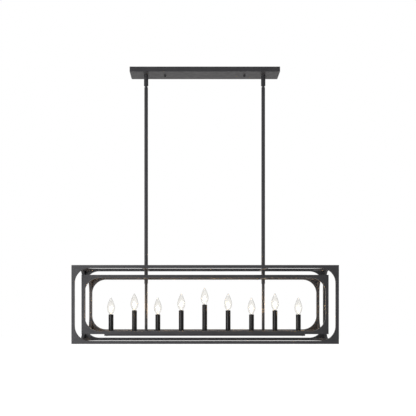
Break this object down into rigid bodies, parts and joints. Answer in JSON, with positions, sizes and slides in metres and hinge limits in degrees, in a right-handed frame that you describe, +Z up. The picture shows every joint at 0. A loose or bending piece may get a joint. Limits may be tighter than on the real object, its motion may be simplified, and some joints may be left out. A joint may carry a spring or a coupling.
{
  "type": "linear chandelier",
  "caption": "Black linear island pendant: two nested open box cages with rounded inner corners hang on two rigid stems from a long canopy, with a row of candle lamps on a channel inside.",
  "frame": {"origin": "ceiling plane at the centre of the outlet box screw slots, on top of the mounting bracket", "axes": "X along the length, -Y to the front as pictured, +Z up"},
  "size_m": [1.118, 0.33, 1.192],
  "materials": {
    "black_powder_coat": "satin",
    "zinc_steel": "satin",
    "green_screw": "gloss",
    "black_phenolic": "matte",
    "wire_insulation": "matte",
    "bulb_glass": "gloss",
    "nickel_base": "satin"
  },
  "bodies": {
    "canopy": {"canopy_pan": "black_powder_coat", "mounting_bracket": "zinc_steel", "canopy_studs": "zinc_steel", "ground_screw": "green_screw", "swivel_lock_nuts": "zinc_steel", "swivel_socket_left": "black_powder_coat", "swivel_socket_right": "black_powder_coat", "supply_leads": "wire_insulation"},
    "fixture": {"outer_front_frame": "black_powder_coat", "outer_back_frame": "black_powder_coat", "outer_left_end_bars": "black_powder_coat", "outer_right_end_bars": "black_powder_coat", "inner_front_frame": "black_powder_coat", "inner_back_frame": "black_powder_coat", "inner_left_end_bars": "black_powder_coat", "inner_right_end_bars": "black_powder_coat", "outer_cross_strap_left": "black_powder_coat", "outer_cross_strap_right": "black_powder_coat", "inner_cross_strap_left": "black_powder_coat", "inner_cross_strap_right": "black_powder_coat", "swivel_ball_left": "black_powder_coat", "swivel_ball_right": "black_powder_coat", "upper_stem_left": "black_powder_coat", "upper_stem_right": "black_powder_coat", "lower_stem_left": "black_powder_coat", "lower_stem_right": "black_powder_coat", "stem_spacers": "black_powder_coat", "stem_clamp_collars": "black_powder_coat", "channel_body": "black_powder_coat", "channel_end_plates": "black_powder_coat", "channel_cover": "black_powder_coat", "cover_screws": "black_powder_coat", "candle_sleeves_low": "black_powder_coat", "candle_sleeves_mid": "black_powder_coat", "candle_sleeve_centre": "black_powder_coat", "stem_joining_rods": "zinc_steel", "channel_lock_nuts": "zinc_steel", "lamp_rods": "zinc_steel", "lamp_sockets": "black_phenolic", "channel_wiring": "wire_insulation"},
    "cap_nut_left": {"canopy_cap_nut_left": "black_powder_coat"},
    "cap_nut_right": {"canopy_cap_nut_right": "black_powder_coat"},
    "bulb_1": {"bulb_glass_1": "bulb_glass", "bulb_base_1": "nickel_base"},
    "bulb_2": {"bulb_glass_2": "bulb_glass", "bulb_base_2": "nickel_base"},
    "bulb_3": {"bulb_glass_3": "bulb_glass", "bulb_base_3": "nickel_base"},
    "bulb_4": {"bulb_glass_4": "bulb_glass", "bulb_base_4": "nickel_base"},
    "bulb_5": {"bulb_glass_5": "bulb_glass", "bulb_base_5": "nickel_base"},
    "bulb_6": {"bulb_glass_6": "bulb_glass", "bulb_base_6": "nickel_base"},
    "bulb_7": {"bulb_glass_7": "bulb_glass", "bulb_base_7": "nickel_base"},
    "bulb_8": {"bulb_glass_8": "bulb_glass", "bulb_base_8": "nickel_base"},
    "bulb_9": {"bulb_glass_9": "bulb_glass", "bulb_base_9": "nickel_base"}
  },
  "joints": [
    {"name": "fixture_swing", "type": "hinge", "parent": "canopy", "child": "fixture", "pos_m": [0, 0, -0.063], "axis": [1, 0, 0], "range_deg": [-22, 22]},
    {"name": "cap_nut_left_turn", "type": "hinge", "parent": "canopy", "child": "cap_nut_left", "pos_m": [-0.174, 0, -0.021], "axis": [0, 0, -1], "range_deg": [0, 1800]},
    {"name": "cap_nut_right_turn", "type": "hinge", "parent": "canopy", "child": "cap_nut_right", "pos_m": [0.174, 0, -0.021], "axis": [0, 0, -1], "range_deg": [0, 1800]},
    {"name": "bulb_1_turn", "type": "hinge", "parent": "fixture", "child": "bulb_1", "pos_m": [-0.4112, 0, -1.071], "axis": [0, 0, 1], "range_deg": [0, 1440]},
    {"name": "bulb_2_turn", "type": "hinge", "parent": "fixture", "child": "bulb_2", "pos_m": [-0.3084, 0, -1.053], "axis": [0, 0, 1], "range_deg": [0, 1440]},
    {"name": "bulb_3_turn", "type": "hinge", "parent": "fixture", "child": "bulb_3", "pos_m": [-0.2056, 0, -1.071], "axis": [0, 0, 1], "range_deg": [0, 1440]},
    {"name": "bulb_4_turn", "type": "hinge", "parent": "fixture", "child": "bulb_4", "pos_m": [-0.1028, 0, -1.053], "axis": [0, 0, 1], "range_deg": [0, 1440]},
    {"name": "bulb_5_turn", "type": "hinge", "parent": "fixture", "child": "bulb_5", "pos_m": [0, 0, -1.028], "axis": [0, 0, 1], "range_deg": [0, 1440]},
    {"name": "bulb_6_turn", "type": "hinge", "parent": "fixture", "child": "bulb_6", "pos_m": [0.1028, 0, -1.053], "axis": [0, 0, 1], "range_deg": [0, 1440]},
    {"name": "bulb_7_turn", "type": "hinge", "parent": "fixture", "child": "bulb_7", "pos_m": [0.2056, 0, -1.071], "axis": [0, 0, 1], "range_deg": [0, 1440]},
    {"name": "bulb_8_turn", "type": "hinge", "parent": "fixture", "child": "bulb_8", "pos_m": [0.3084, 0, -1.053], "axis": [0, 0, 1], "range_deg": [0, 1440]},
    {"name": "bulb_9_turn", "type": "hinge", "parent": "fixture", "child": "bulb_9", "pos_m": [0.4112, 0, -1.071], "axis": [0, 0, 1], "range_deg": [0, 1440]}
  ]
}
